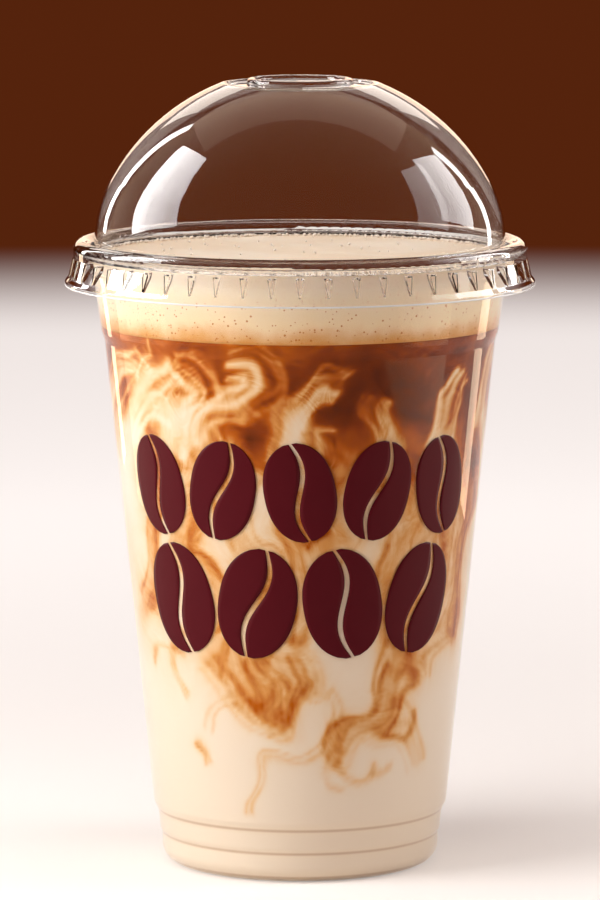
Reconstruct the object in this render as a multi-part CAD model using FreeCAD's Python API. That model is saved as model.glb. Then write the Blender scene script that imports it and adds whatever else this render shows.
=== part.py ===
"""Iced latte in a clear takeaway cup with a domed lid, in millimetres.

The origin is the middle of the foot on the table and +Z is up. Cup and lid are thin formed sheet: each is the
revolve of an outer outline and the same outline moved in by the sheet's thickness. The drink is the cup's own
cavity, cut at the levels where the coffee meets the foam and the foam meets the air.
"""

import FreeCAD, Part

import math
import os

# Overall sizes of the cup.
CUP_HEIGHT = 137.05          # top of the rolled rim above the table
RIM_RADIUS = 49.05           # outside of the rolled rim
FOOT_RADIUS = 30.5           # outside of the foot
CUP_SHEET = 0.45             # thickness of the cup's wall

# Rim and neck, measured down from the rim's top and in from its outside.
CURL_RADIUS = 1.4            # outside of the roll's own section
ROLL_NECK = 1.8              # straight wall under the roll's middle
NECK_DROP = 5.85
NECK_INSET = 3.6
LEDGE_TOP_DROP = 19.3        # stacking ledge
LEDGE_TOP_INSET = 5.5
LEDGE_DEPTH = 2.2            # its height
LEDGE_INSET = 6.2

# Foot: two steps, measured up from the table and out from the foot.
TOE_BOTTOM = 6.5
TOE_TOP = 7.4
TOE_OUT = 0.45
HEEL_BOTTOM = 11.4
HEEL_BOTTOM_OUT = 0.9
HEEL_TOP = 13.4
HEEL_TOP_OUT = 1.85

# Bottom of the cup: the ring it stands on and a raised panel with a boss.
FOOT_ROUNDING = 3.9          # outer corner of the foot
FOOT_FLAT = 1.4              # width of the ring on the table
PANEL_RISE = 2.6
PANEL_SLOPE = 1.2            # width of the slope up to the panel
BOSS_RADIUS = 11.0
BOSS_RISE = 0.6
BOSS_SLOPE = 0.8
STEP_ROUNDING = 0.35         # tight side of the small corners
WALL_ROUNDING = 1.2          # tight side of the wall's softer corners

# Drink, measured down from the rim's top.
FOAM_DROP = 2.75
COFFEE_DROP = 17.95

# Lid: bead over the roll, skirt and brim under it.
LID_SHEET = 0.4
RIM_CLEARANCE = 0.25         # between the roll and the lid
BEAD_WALL = 1.75             # straight outer wall of the bead under the roll's middle
SKIRT_LENGTH = 4.2
SKIRT_SPREAD = 1.05          # outward slant of the skirt over its length
BRIM_TURN = 0.95             # height of the brim's outward turn
BRIM_SPREAD = 0.75
BRIM_DROP = 0.95             # height of the brim's straight edge
GROOVE_WIDTH = 0.6           # between bead and dome

# Dome, collar and straw hole.
DOME_SPRING = 1.65           # straight foot of the dome above the roll's middle
DOME_RISE = 34.45            # from there to the crown's edge
SHOULDER_RADIUS = 27.5       # the dome's side, in section
CROWN_EDGE_RADIUS = 16.9     # where the dome turns into the sunk ring
CROWN_CORNER = 0.7           # rounding's share of the dome at that edge
RING_SINK = 0.75
RING_SLOPE = 0.7
COLLAR_RADIUS = 11.6
COLLAR_RISE = 1.65           # the collar's crest above the ring
COLLAR_DEPTH = 1.0           # its inner lip below the ring
HOLE_RADIUS = 9.85
LID_ROUNDING = 0.3           # tight side of the lid's small corners

# Crimps: inverted pyramids pressed into the skirt, whose flat tops catch under the roll.
CRIMP_COUNT = 52
CRIMP_WIDTH = 1.3
CRIMP_DEPTH = 1.7
CRIMP_HEIGHT = 3.75

# Set by the sizes above.
ROLL_R = RIM_RADIUS - CURL_RADIUS
ROLL_Z = CUP_HEIGHT - CURL_RADIUS
SPRING_Z = ROLL_Z + DOME_SPRING
BEAD_RADIUS = CURL_RADIUS + RIM_CLEARANCE + LID_SHEET
DOME_BASE = ROLL_R - BEAD_RADIUS - GROOVE_WIDTH
SKIRT_TOP_R = ROLL_R + BEAD_RADIUS
SKIRT_TOP_Z = ROLL_Z - BEAD_WALL
SKIRT_BOTTOM_R = SKIRT_TOP_R + SKIRT_SPREAD
SKIRT_BOTTOM_Z = SKIRT_TOP_Z - SKIRT_LENGTH
CRIMP_TOP_Z = ROLL_Z - BEAD_RADIUS

ORIGIN = FreeCAD.Vector(0, 0, 0)
UP = FreeCAD.Vector(0, 0, 1)
SAME_POINT = 1e-6
FULL_TURN = 360


# Sections. They are drawn in the XZ plane, outer face first, with the sheet on the left of the outline.

def at(r, z):
    return FreeCAD.Vector(r, 0, z)


def line(a, b):
    return Part.LineSegment(a, b).toShape()


def arc(centre, radius, start, end):
    """An arc between two angles from the horizontal."""
    angles = (start, (start + end) / 2, end)
    return Part.Arc(*[centre + at(math.cos(a), math.sin(a)) * radius for a in angles]).toShape()


def left_of(start, end):
    """The unit normal on the left of a run."""
    along = (end - start).normalize()
    return at(-along.z, along.x)


def moved_in(points, distance):
    """The outline that runs beside the given one, at that distance on its left."""
    normals = [left_of(a, b) for a, b in zip(points, points[1:])]
    moved = [points[0] + normals[0] * distance]
    for corner, before, after in zip(points[1:], normals, normals[1:]):
        moved.append(corner + (before + after) * (distance / (1 + before.dot(after))))
    moved.append(points[-1] + normals[-1] * distance)
    return moved


def rounded(points, radii):
    """Lines and tangent arcs along an open outline, with one radius for each corner between its ends."""
    edges = []
    reached = points[0]
    for a, corner, b, radius in zip(points, points[1:], points[2:], radii):
        back = (a - corner).normalize()
        ahead = (b - corner).normalize()
        half = back.getAngle(ahead) / 2
        start = corner + back * (radius / math.tan(half))
        end = corner + ahead * (radius / math.tan(half))
        middle = corner + (back + ahead).normalize() * (radius / math.sin(half) - radius)
        if (start - reached).Length > SAME_POINT:
            edges.append(line(reached, start))
        edges.append(Part.Arc(start, middle, end).toShape())
        reached = end
    if (points[-1] - reached).Length > SAME_POINT:
        edges.append(line(reached, points[-1]))
    return edges


def both_faces(corners, sheet):
    """Edges of the outer and the inner face. Each corner's radius is the one on the side it bends towards."""
    points = [point for point, _ in corners]
    outer_radii = []
    inner_radii = []
    for a, (corner, tight), b in zip(points, corners[1:-1], points[2:]):
        bends_in = left_of(a, corner).dot(b - corner) > 0
        outer_radii.append(tight + sheet if bends_in else tight)
        inner_radii.append(tight if bends_in else tight + sheet)
    return rounded(points, outer_radii), rounded(moved_in(points, sheet), inner_radii)


def end_caps(corners, sheet):
    """The straight edges that join the two faces at the outline's start and at its end."""
    points = [point for point, _ in corners]
    moved = moved_in(points, sheet)
    return line(points[0], moved[0]), line(points[-1], moved[-1])


def revolved(edges):
    """The solid that a closed section sweeps about the axis."""
    face = Part.Face(Part.Wire(Part.__sortEdges__(edges)))
    solid = face.revolve(ORIGIN, UP, FULL_TURN)
    return solid if solid.Volume > 0 else solid.reversed()


# Cup and drink.

def bottom_corners():
    """The bottom, from the axis out to the foot."""
    flat_outer = FOOT_RADIUS - FOOT_ROUNDING
    flat_inner = flat_outer - FOOT_FLAT
    return [
        (at(0, PANEL_RISE + BOSS_RISE), None),
        (at(BOSS_RADIUS, PANEL_RISE + BOSS_RISE), STEP_ROUNDING),
        (at(BOSS_RADIUS + BOSS_SLOPE, PANEL_RISE), STEP_ROUNDING),
        (at(flat_inner - PANEL_SLOPE, PANEL_RISE), STEP_ROUNDING),
        (at(flat_inner, 0), STEP_ROUNDING),
        (at(FOOT_RADIUS, 0), FOOT_ROUNDING - CUP_SHEET),
    ]


def wall_corners():
    """The wall, from the foot's steps up to the neck."""
    ledge_top = CUP_HEIGHT - LEDGE_TOP_DROP
    return [
        (at(FOOT_RADIUS, TOE_BOTTOM), STEP_ROUNDING),
        (at(FOOT_RADIUS + TOE_OUT, TOE_TOP), STEP_ROUNDING),
        (at(FOOT_RADIUS + HEEL_BOTTOM_OUT, HEEL_BOTTOM), STEP_ROUNDING),
        (at(FOOT_RADIUS + HEEL_TOP_OUT, HEEL_TOP), WALL_ROUNDING),
        (at(RIM_RADIUS - LEDGE_INSET, ledge_top - LEDGE_DEPTH), WALL_ROUNDING),
        (at(RIM_RADIUS - LEDGE_TOP_INSET, ledge_top), WALL_ROUNDING),
        (at(RIM_RADIUS - NECK_INSET, CUP_HEIGHT - NECK_DROP), WALL_ROUNDING),
    ]


def roll_corners():
    """The rolled rim: up, over and three quarters of the way round."""
    hollow = CURL_RADIUS - CUP_SHEET
    return [
        (at(ROLL_R - hollow, ROLL_Z - ROLL_NECK), WALL_ROUNDING),
        (at(ROLL_R - hollow, ROLL_Z + hollow), hollow),
        (at(ROLL_R + hollow, ROLL_Z + hollow), hollow),
        (at(ROLL_R + hollow, ROLL_Z - hollow), hollow),
        (at(ROLL_R, ROLL_Z - hollow), None),
    ]


def make_cup(corners):
    outer, inner = both_faces(corners, CUP_SHEET)
    return revolved([*outer, *inner, *end_caps(corners, CUP_SHEET)])


def is_within(point, corner):
    return point.x < corner.x + SAME_POINT and point.z < corner.z + SAME_POINT


def make_cavity(corners):
    """All the room inside the cup, up to the middle of the roll."""
    _, inner = both_faces(corners, CUP_SHEET)
    floor = at(0, PANEL_RISE + BOSS_RISE + CUP_SHEET)
    top = at(0, ROLL_Z)
    mouth = at(ROLL_R - CURL_RADIUS, ROLL_Z)
    below = [e for e in inner if all(is_within(v.Point, mouth) for v in e.Vertexes)]
    return revolved([*below, line(mouth, top), line(top, floor)])


def layer(cavity, bottom, top):
    """The part of the cavity between two heights."""
    return cavity.common(Part.makeCylinder(RIM_RADIUS, top - bottom, at(0, bottom)))


# Lid.

def skirt_corners():
    """From the brim's edge up the skirt, over the bead and down the groove to the dome's foot."""
    brim_r = SKIRT_BOTTOM_R + BRIM_SPREAD
    brim_z = SKIRT_BOTTOM_Z - BRIM_TURN
    crest = ROLL_Z + BEAD_RADIUS
    groove_floor = ROLL_Z - GROOVE_WIDTH / 2
    groove_inner = GROOVE_WIDTH / 2
    bead_inner = CURL_RADIUS + RIM_CLEARANCE
    return [
        (at(brim_r, brim_z - BRIM_DROP), None),
        (at(brim_r, brim_z), LID_ROUNDING),
        (at(SKIRT_BOTTOM_R, SKIRT_BOTTOM_Z), LID_ROUNDING),
        (at(SKIRT_TOP_R, SKIRT_TOP_Z), LID_ROUNDING),
        (at(ROLL_R + BEAD_RADIUS, crest), bead_inner),
        (at(ROLL_R - BEAD_RADIUS, crest), bead_inner),
        (at(ROLL_R - BEAD_RADIUS, groove_floor), groove_inner),
        (at(DOME_BASE, groove_floor), groove_inner),
        (at(DOME_BASE, SPRING_Z), None),
    ]


def crown_circle():
    """Radius and height above the spring of the crown's arc.

    It is centred on the axis, meets the shoulder's arc without a corner and passes through the crown's edge.
    """
    edge_r = CROWN_EDGE_RADIUS + CROWN_CORNER
    reach = DOME_BASE - SHOULDER_RADIUS
    known = edge_r ** 2 + DOME_RISE ** 2 + SHOULDER_RADIUS ** 2 - reach ** 2
    a = 1 - (SHOULDER_RADIUS / DOME_RISE) ** 2
    b = SHOULDER_RADIUS * (known / DOME_RISE ** 2 - 2)
    c = SHOULDER_RADIUS ** 2 - reach ** 2 - (known / (2 * DOME_RISE)) ** 2
    radius = (math.sqrt(b * b - 4 * a * c) - b) / (2 * a)
    return radius, (known - 2 * radius * SHOULDER_RADIUS) / (2 * DOME_RISE)


def dome_arcs(inwards):
    radius, height = crown_circle()
    crown_centre = at(0, SPRING_Z + height)
    shoulder_centre = at(DOME_BASE - SHOULDER_RADIUS, SPRING_Z)
    meeting = math.atan2(-height, shoulder_centre.x)
    edge = math.acos((CROWN_EDGE_RADIUS + CROWN_CORNER) / radius)
    return [
        arc(shoulder_centre, SHOULDER_RADIUS - inwards, 0, meeting),
        arc(crown_centre, radius - inwards, meeting, edge),
    ]


def top_corners():
    """From the crown over its edge to the sunk ring, up the collar and down into the straw hole."""
    radius, _ = crown_circle()
    start_r = CROWN_EDGE_RADIUS + CROWN_CORNER
    start_z = SPRING_Z + DOME_RISE
    edge_z = start_z + CROWN_CORNER * start_r / math.sqrt(radius ** 2 - start_r ** 2)
    ring_z = edge_z - RING_SINK
    collar_inner = (COLLAR_RADIUS - HOLE_RADIUS) / 2 - LID_SHEET
    return [
        (at(start_r, start_z), None),
        (at(CROWN_EDGE_RADIUS, edge_z), LID_ROUNDING),
        (at(CROWN_EDGE_RADIUS - RING_SLOPE, ring_z), LID_ROUNDING),
        (at(COLLAR_RADIUS, ring_z), LID_ROUNDING),
        (at(COLLAR_RADIUS, ring_z + COLLAR_RISE), collar_inner),
        (at(HOLE_RADIUS, ring_z + COLLAR_RISE), collar_inner),
        (at(HOLE_RADIUS, ring_z - COLLAR_DEPTH), None),
    ]


def lid_sheet():
    """The lid before its crimps. Its seam lies half a pitch from the first of them."""
    skirt = skirt_corners()
    top = top_corners()
    skirt_outer, skirt_inner = both_faces(skirt, LID_SHEET)
    top_outer, top_inner = both_faces(top, LID_SHEET)
    outer = [*skirt_outer, *dome_arcs(0), *top_outer]
    inner = [*skirt_inner, *dome_arcs(LID_SHEET), *top_inner]
    brim_end, _ = end_caps(skirt, LID_SHEET)
    _, hole_end = end_caps(top, LID_SHEET)
    sheet = revolved([*outer, *inner, brim_end, hole_end])
    sheet.rotate(ORIGIN, UP, FULL_TURN / CRIMP_COUNT / 2)
    return sheet


def crimp_corners():
    """The crimp's pressed-in corner, then its three corners on the skirt's face."""
    slope = SKIRT_SPREAD / SKIRT_LENGTH
    top_r = SKIRT_TOP_R + slope * (SKIRT_TOP_Z - CRIMP_TOP_Z)
    low = at(top_r + slope * CRIMP_HEIGHT, CRIMP_TOP_Z - CRIMP_HEIGHT)
    left = FreeCAD.Vector(top_r, -CRIMP_WIDTH / 2, CRIMP_TOP_Z)
    right = FreeCAD.Vector(top_r, CRIMP_WIDTH / 2, CRIMP_TOP_Z)
    return at(top_r - CRIMP_DEPTH, CRIMP_TOP_Z), left, right, low


def tetrahedron(a, b, c, d):
    triangles = ((a, b, c), (a, b, d), (a, c, d), (b, c, d))
    faces = [Part.Face(Part.makePolygon([p, q, r, p])) for p, q, r in triangles]
    solid = Part.Solid(Part.Shell(faces))
    return solid if solid.Volume > 0 else solid.reversed()


def pushed_out(corners, distance):
    """The corners of the tetrahedron whose faces all lie that far outside the given one's."""
    a, b, c, d = corners
    areas = [
        (c - b).cross(d - b).Length / 2,
        (c - a).cross(d - a).Length / 2,
        (b - a).cross(d - a).Length / 2,
        (b - a).cross(c - a).Length / 2,
    ]
    centre = FreeCAD.Vector(0, 0, 0)
    for corner, area in zip(corners, areas):
        centre += corner * (area / sum(areas))
    volume = abs((b - a).cross(c - a).dot(d - a)) / 6
    growth = 1 + distance * sum(areas) / (3 * volume)
    return [centre + (corner - centre) * growth for corner in corners]


def crimp_hollow():
    """The dent, seen from outside. It stands a little proud of the skirt's curved face so that it cuts through."""
    pressed, *on_face = crimp_corners()
    proud = 1 + LID_SHEET / CRIMP_DEPTH
    return tetrahedron(pressed, *[pressed + (corner - pressed) * proud for corner in on_face])


def crimp_wall():
    """The same dent with the sheet's thickness round it, kept inside the skirt's outer face."""
    corners = crimp_corners()
    solid = tetrahedron(*pushed_out(corners, LID_SHEET))
    room = Part.makeCone(SKIRT_BOTTOM_R, SKIRT_TOP_R, SKIRT_LENGTH, at(0, SKIRT_BOTTOM_Z))
    core = Part.makeCylinder(corners[0].x - LID_SHEET, SKIRT_LENGTH, at(0, SKIRT_BOTTOM_Z))
    return solid.common(room.cut(core))


def around(shape):
    """A copy of the shape for every crimp, evenly about the axis."""
    copies = []
    for i in range(CRIMP_COUNT):
        copy = shape.copy()
        copy.rotate(ORIGIN, UP, FULL_TURN * i / CRIMP_COUNT)
        copies.append(copy)
    return copies


def make_lid():
    return lid_sheet().fuse(around(crimp_wall())).cut(around(crimp_hollow()))


def main():
    os.makedirs("parts", exist_ok=True)
    corners = [*bottom_corners(), *wall_corners(), *roll_corners()]
    cavity = make_cavity(corners)
    coffee_level = CUP_HEIGHT - COFFEE_DROP
    shapes = {
        "cup": make_cup(corners),
        "latte": layer(cavity, 0, coffee_level),
        "foam": layer(cavity, coffee_level, CUP_HEIGHT - FOAM_DROP),
        "lid": make_lid(),
    }
    for node, shape in shapes.items():
        shape.exportStep(f"parts/{node}.step")
        print(node, shape.isValid(), len(shape.Solids), round(shape.Volume, 1))


main()
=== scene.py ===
"""Looks of the iced latte: clear cup and domed lid, marbled coffee, milk foam, its bubbles, printed beans.

Everything is in metres in the CAD's own frame: the foot stands on z = 0, the viewer is at -Y.
"""

import math
import random

import bmesh
import bpy
import numpy as np
from mathutils import Matrix, Vector, noise


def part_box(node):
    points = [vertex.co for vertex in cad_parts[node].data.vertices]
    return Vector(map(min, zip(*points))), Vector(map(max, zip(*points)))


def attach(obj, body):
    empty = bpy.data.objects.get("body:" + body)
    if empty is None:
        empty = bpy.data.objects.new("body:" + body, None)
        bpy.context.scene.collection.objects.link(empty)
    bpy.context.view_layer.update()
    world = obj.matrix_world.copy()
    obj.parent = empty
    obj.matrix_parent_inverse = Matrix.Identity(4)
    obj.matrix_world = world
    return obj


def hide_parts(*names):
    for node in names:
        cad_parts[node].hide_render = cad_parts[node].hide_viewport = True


noise.seed_set(3)
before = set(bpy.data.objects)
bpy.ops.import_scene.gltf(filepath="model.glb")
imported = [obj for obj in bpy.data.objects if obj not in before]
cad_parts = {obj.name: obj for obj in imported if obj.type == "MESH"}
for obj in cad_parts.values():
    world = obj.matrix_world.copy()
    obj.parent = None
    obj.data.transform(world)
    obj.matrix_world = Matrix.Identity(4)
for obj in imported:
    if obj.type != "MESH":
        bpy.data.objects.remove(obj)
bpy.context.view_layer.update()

MM = 0.001
CM = 0.01

# Camera: a long lens a little above the rim.
CAMERA_DISTANCE = 1.3
CAMERA_HEIGHT = 0.262
CAMERA_PITCH = math.radians(7.492)
CAMERA_LENS = 238.44

# Levels, read off the solids.
COFFEE_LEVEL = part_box("latte")[1].z
FOAM_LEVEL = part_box("foam")[1].z
FOOT_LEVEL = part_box("cup")[0].z

# Drink.
SEGMENTS = 480
LEAST_STEP = 0.3 * MM  # points of a solid's outline nearer than this are left out
WALL_STEP = 0.75 * MM  # spacing of the drink's rows up the wall
INTO_WALL = 0.15 * MM  # how far drink and foam reach into the cup's sheet, so that no air shows
PANEL_REACH = 4.0 * MM  # how far the raised panel of the base stands up into the drink, at most
SAME_PLACE = 0.002 * MM  # points nearer than this count as level with each other
FOOT_REACH = 0.1 * MM  # how far past the foot's inner edge the underside's points may lie
FOOT_STEPS = (1.2 * MM, 6.6 * MM, 11.9 * MM)  # heights of the cup's steps, where painted shade lines darken the drink behind them
STEP_REACH = 0.06  # how far that shade reaches up and down, in cm
STEP_DEPTH = 0.55  # how strong it is
SHEET_IOR = 1.56
SHEET_WAVES = {"cup": (0.8, 0.04 * MM), "lid": (1.0, 0.03 * MM)}  # waves per cm and their height

# Marbling: noise along the flow of the drink, per cm, and how much each kind of streak counts.
BROAD_STREAKS = {"scale": 1.4, "detail": 3.0, "roughness": 0.55, "distortion": 0.6}
FINE_STREAKS = {"scale": 4.2, "detail": 5.0, "roughness": 0.68, "distortion": 0.8}
CLOUDS = {"scale": 1.8, "detail": 5.0, "roughness": 0.60, "distortion": 0.4}
BROAD_AT_EDGES = 0.14
FINE_AT_EDGES = 0.08
CLOUDS_MIXED = 1.3
FINE_MIXED = (5.5, 8.5, 0.65, 1.05)  # between two heights in cm, from one strength to the other
FULL_MIX = 1.2
FLOW_DRIFT = 0.35  # how far slow noise carries the streaks

# Foam.
FOAM_STEP = 1.0 * MM  # spacing of its rows up the wall
FOAM_LEAST_STEP = 0.2 * MM
FOAM_RINGS = 48  # rings across its top
FOAM_SAG = 0.40 * MM  # how far the top lies below the edge
FOAM_LIP = 0.35 * MM  # how far the foam climbs the wall
LIP_WIDTH = 0.02  # the lip's width, as a share of the radius
CALM_EDGE = 12  # how soon the swells set in from the wall
FOAM_SWELLS = ((0.7, 0.28 * MM), (2.2, 0.08 * MM))  # waves per cm and their height

# Bubbles on the foam.
BUBBLE_SEED = 4
BUBBLES_AT_WALL = 460
BUBBLES_ON_TOP = 90
WALL_BUBBLE_SIZE = (0.16 * MM, 0.42 * MM)
TOP_BUBBLE_SIZE = (0.12 * MM, 0.30 * MM)
BUBBLE_BAND = 1.0 * MM  # how far from the wall the ring of bubbles reaches
BUBBLE_SCATTER = 0.4  # how uneven their spacing is
BUBBLE_AREA = 0.97  # share of the top's radius that has bubbles
BUBBLE_RISE = 0.15  # how high a bubble's middle stands, as a share of its radius

# Frosted cut edge of the lid's brim; its pale colour is partly a painted highlight along the brim.
LID_SHEET = 0.4 * MM
CUT_EDGE_HEIGHT = 0.34 * MM
CUT_EDGE_PROUD = 0.02 * MM
CUT_EDGE_CORNER = 0.08 * MM

# Print on the cup.
CUP_SHEET = 0.45 * MM
INK_PROUD = 0.04 * MM
INK_SUNK = 0.02 * MM
BEAN_LEAN = 12.0  # degrees, to either side in turn
BEAN_ROWS = [  # middle height, width and length, then degrees from the front
    (87.0 * MM, (15.5 * MM, 22.0 * MM), (-50, -25, 0, 25, 50)),
    (62.5 * MM, (17.5 * MM, 24.5 * MM), (-43.5, -14.5, 14.5, 43.5)),
]
BEAN_GRID = (36, 8)  # faces along and across each half of a bean
BEAN_BLUNT = 0.985  # how near to its very tip a bean is drawn
BEAN_FULLNESS = 2.3  # 2 gives an ellipse, more gives fuller ends
SEAM_BEND = 0.10  # bend and width of a bean's seam, as shares of the bean's width
SEAM_WIDTH = 0.035
SEAM_NARROWS = 0.45

# Colours, as light values.
CREAM = (0.905, 0.770, 0.600)
PALE_TAN = (0.860, 0.580, 0.310)
CARAMEL = (0.720, 0.325, 0.085)
TOFFEE = (0.500, 0.112, 0.004)
COFFEE = (0.260, 0.045, 0.004)
ESPRESSO = (0.105, 0.016, 0.002)
MARBLING_COLOURS = [  # share of coffee and colour
    (0.00, CREAM), (0.20, PALE_TAN), (0.40, CARAMEL), (0.60, TOFFEE), (0.80, COFFEE), (1.00, ESPRESSO),
]
# painted shade: the colour of the dark lines at the cup's steps
STEP_SHADE = (0.520, 0.310, 0.150)
FOAM_TOP = (0.900, 0.770, 0.610)
FOAM_PATCH = (0.860, 0.700, 0.520)
FOAM_SIDE = (0.960, 0.830, 0.640)
FOAM_LOW = (0.960, 0.730, 0.440)
FOAM_SPECK = (0.560, 0.170, 0.020)
BUBBLE_DARK = (0.620, 0.500, 0.400)
BUBBLE_PALE = (0.950, 0.880, 0.780)
INK = (0.082, 0.004, 0.008)
INK_THIN = (0.100, 0.006, 0.010)
SHEET = (0.985, 0.985, 0.980)
SHEET_MIRROR = (0.120, 0.120, 0.120)
SHEET_SHADOW = (0.930, 0.930, 0.930)
# pale tones of the cut edge: partly frosting, partly a painted highlight
EDGE_DULL = (0.860, 0.840, 0.820)
EDGE_BRIGHT = (0.960, 0.950, 0.940)
ROOM_BROWN = (0.090, 0.017, 0.004)
FLOOR_PALE = (0.800, 0.765, 0.730)
FLOOR_GRAIN = (0.700, 0.660, 0.620)
FLOOR_NEAR = (0.280, 0.270, 0.260)
FLOOR_FAR = (0.740, 0.725, 0.710)
BLACK = (0.0, 0.0, 0.0)
WHITE = (1.0, 1.0, 1.0)

# Roughness from and to, over the range in which most of a noise's values lie.
NOISE_RANGE = (0.3, 0.7)
DRINK_ROUGHNESS = (0.34, 0.46)
FOAM_ROUGHNESS = (0.68, 0.50)
INK_ROUGHNESS = (0.32, 0.48)
EDGE_ROUGHNESS = (0.35, 0.55)
BUBBLE_ROUGHNESS = (0.08, 0.20)
SHEET_ROUGHNESS = (0.0, 0.0035)
TABLE_ROUGHNESS = (0.55, 0.65)

# Bands of the foam's side, in cm from the coffee's level.
STAIN_WANDER = 0.5  # how unevenly the coffee climbs
STAIN_BAND = (-0.30, 0.22)
SOAKED_BAND = (-0.20, 1.30)
SPECK_BAND = (1.35, 0.50)
TOP_BAND = (0.90, 0.10)  # above the coffee, and below the foam's top

# Table.
TABLE_FADE = (1.02, 1.42)  # where the pale table runs out into the room, in metres from the cup
TABLE_LIFT = (0.05, 0.60)  # where its glow sets in
TABLE_RINGS = (0.0, 0.2, 0.5, 1.0, 2.0, 6.0)
TABLE_SIDES = 96
TABLE_GAP = 0.02 * MM

# Lamps: name, middle, direction, up, width and height, and radiance.
UP = (0, 0, 1)
DRINK_LAMPS = [
    ("left_light", (-0.34, -0.16, 0.30), (1, 0.45, -0.35), UP, (0.30, 0.45), 4.7),
    ("right_light", (0.40, -0.02, 0.28), (-1, 0.1, -0.3), UP, (0.22, 0.46), 3.4),
    ("top_light", (-0.12, -0.06, 0.75), (0.16, 0.08, -1), (0, 1, 0), (0.45, 0.35), 3.7),
    ("front_light", (-0.45, -1.00, 0.50), (0.4, 1.0, -0.35), UP, (0.60, 0.60), 1.4),
]
# Lamps that only show in the clear sheet: two windows, their edges, and the room's glow.
LOW_WARMTH = (1.0, 0.76, 0.52)
MIRRORED_LAMPS = [
    ("left_window", (-0.30, 0.038, 0.345), (1, 0, 0), (0, 0.36, 0.93), (0.18, 0.33), 29.0, WHITE),
    ("right_window", (0.30, 0.085, 0.310), (-1, 0, 0), (0, 0.40, 0.91), (0.14, 0.25), 14.0, WHITE),
    ("right_pane", (0.305, -0.020, 0.330), (-1, 0, 0), (0, 0.40, 0.91), (0.12, 0.26), 8.0, WHITE),
    ("left_edge", (-0.30, 0.325, 0.33), (0.7, -0.7, 0), UP, (0.035, 0.40), 16.0, WHITE),
    ("right_edge", (0.30, 0.220, 0.26), (-0.7, -0.6, 0), UP, (0.03, 0.30), 16.0, WHITE),
    ("left_low", (-0.30, 0.07, 0.05), (1, 0, 0), UP, (0.26, 0.09), 1.8, LOW_WARMTH),
    ("left_low_edge", (-0.30, 0.38, 0.04), (0.7, -0.7, 0), UP, (0.06, 0.10), 4.0, LOW_WARMTH),
    ("right_low", (0.30, -0.13, 0.04), (-1, 0, 0), UP, (0.27, 0.07), 2.4, LOW_WARMTH),
    ("right_low_edge", (0.30, 0.22, 0.05), (-0.7, -0.6, 0), UP, (0.07, 0.10), 4.0, LOW_WARMTH),
    ("back_glow", (0, 1.20, 0.36), (0, -1, 0), UP, (0.80, 0.34), 2.4, (1.0, 0.74, 0.54)),
    ("back_high", (0, 1.00, 0.72), (0, -1, -0.5), UP, (1.00, 0.34), 3.5, (1.0, 0.90, 0.80)),
    ("ceiling", (0, 0.45, 0.95), (0, 0, -1), (0, 1, 0), (1.20, 0.60), 1.2, (1.0, 0.80, 0.64)),
]


# ---------------- node helpers

class Nodes:
    """A node tree and short ways to add to it. A value given to a socket is a link when it is a socket."""

    def __init__(self, tree):
        self.tree = tree

    def add(self, kind, values=None, **settings):
        node = self.tree.nodes.new(kind)
        for name, value in settings.items():
            setattr(node, name, value)
        for key, value in (values or {}).items():
            self.put(node.inputs[key], value)
        return node

    def put(self, socket, value):
        if isinstance(value, bpy.types.NodeSocket):
            self.tree.links.new(value, socket)
        elif socket.type == "RGBA" and len(value) == 3:
            socket.default_value = (*value, 1.0)
        else:
            socket.default_value = value

    def math(self, operation, a, b=0.0, clamp=False):
        return self.add("ShaderNodeMath", {0: a, 1: b}, operation=operation, use_clamp=clamp).outputs[0]

    def vector(self, operation, a, b=(0.0, 0.0, 0.0)):
        node = self.add("ShaderNodeVectorMath", {0: a, 1: b}, operation=operation)
        return node.outputs["Value" if operation == "LENGTH" else "Vector"]

    def scaled(self, vector, factor):
        node = self.add("ShaderNodeVectorMath", {0: vector, "Scale": factor}, operation="SCALE")
        return node.outputs["Vector"]

    def noise(self, vector, scale, detail=3.0, roughness=0.55, distortion=0.0):
        return self.add("ShaderNodeTexNoise", {
            "Vector": vector, "Scale": scale, "Detail": detail,
            "Roughness": roughness, "Distortion": distortion,
        }).outputs

    def between(self, value, low, high, to_low=0.0, to_high=1.0):
        return self.add("ShaderNodeMapRange", {
            "Value": value, "From Min": low, "From Max": high, "To Min": to_low, "To Max": to_high,
        }, interpolation_type="SMOOTHSTEP").outputs["Result"]

    def mix(self, factor, a, b):
        node = self.add("ShaderNodeMix", {"Factor": factor}, data_type="RGBA")
        self.put(node.inputs[6], a)
        self.put(node.inputs[7], b)
        return node.outputs[2]

    def ramp(self, factor, stops):
        node = self.add("ShaderNodeValToRGB", {"Fac": factor})
        ramp = node.color_ramp
        while len(ramp.elements) < len(stops):
            ramp.elements.new(0.5)
        for element, (place, colour) in zip(ramp.elements, stops):
            element.position = place
            element.color = (*colour, 1.0)
        return node.outputs["Color"]

    def height(self, vector):
        return self.add("ShaderNodeSeparateXYZ", {0: vector}).outputs["Z"]

    def bump(self, height, strength, distance):
        node = self.add("ShaderNodeBump", {"Height": height, "Strength": strength, "Distance": distance})
        return node.outputs["Normal"]

    def stored(self, name):
        """What the mesh stores at each point under a name."""
        return self.add("ShaderNodeAttribute", attribute_name=name).outputs

    def principled(self, values):
        return self.add("ShaderNodeBsdfPrincipled", values).outputs[0]


def new_group(name, inputs, outputs):
    """An empty node group, and the sockets of its input and output nodes.

    An input is a vector where its value is None, and a number otherwise. Every output is a number.
    """
    tree = bpy.data.node_groups.new(name, "ShaderNodeTree")
    for title, value in inputs.items():
        kind = "NodeSocketVector" if value is None else "NodeSocketFloat"
        socket = tree.interface.new_socket(title, in_out="INPUT", socket_type=kind)
        if value is not None:
            socket.default_value = value
    for title in outputs:
        tree.interface.new_socket(title, in_out="OUTPUT", socket_type="NodeSocketFloat")
    nodes = Nodes(tree)
    return nodes, nodes.add("NodeGroupInput").outputs, nodes.add("NodeGroupOutput").inputs


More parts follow.
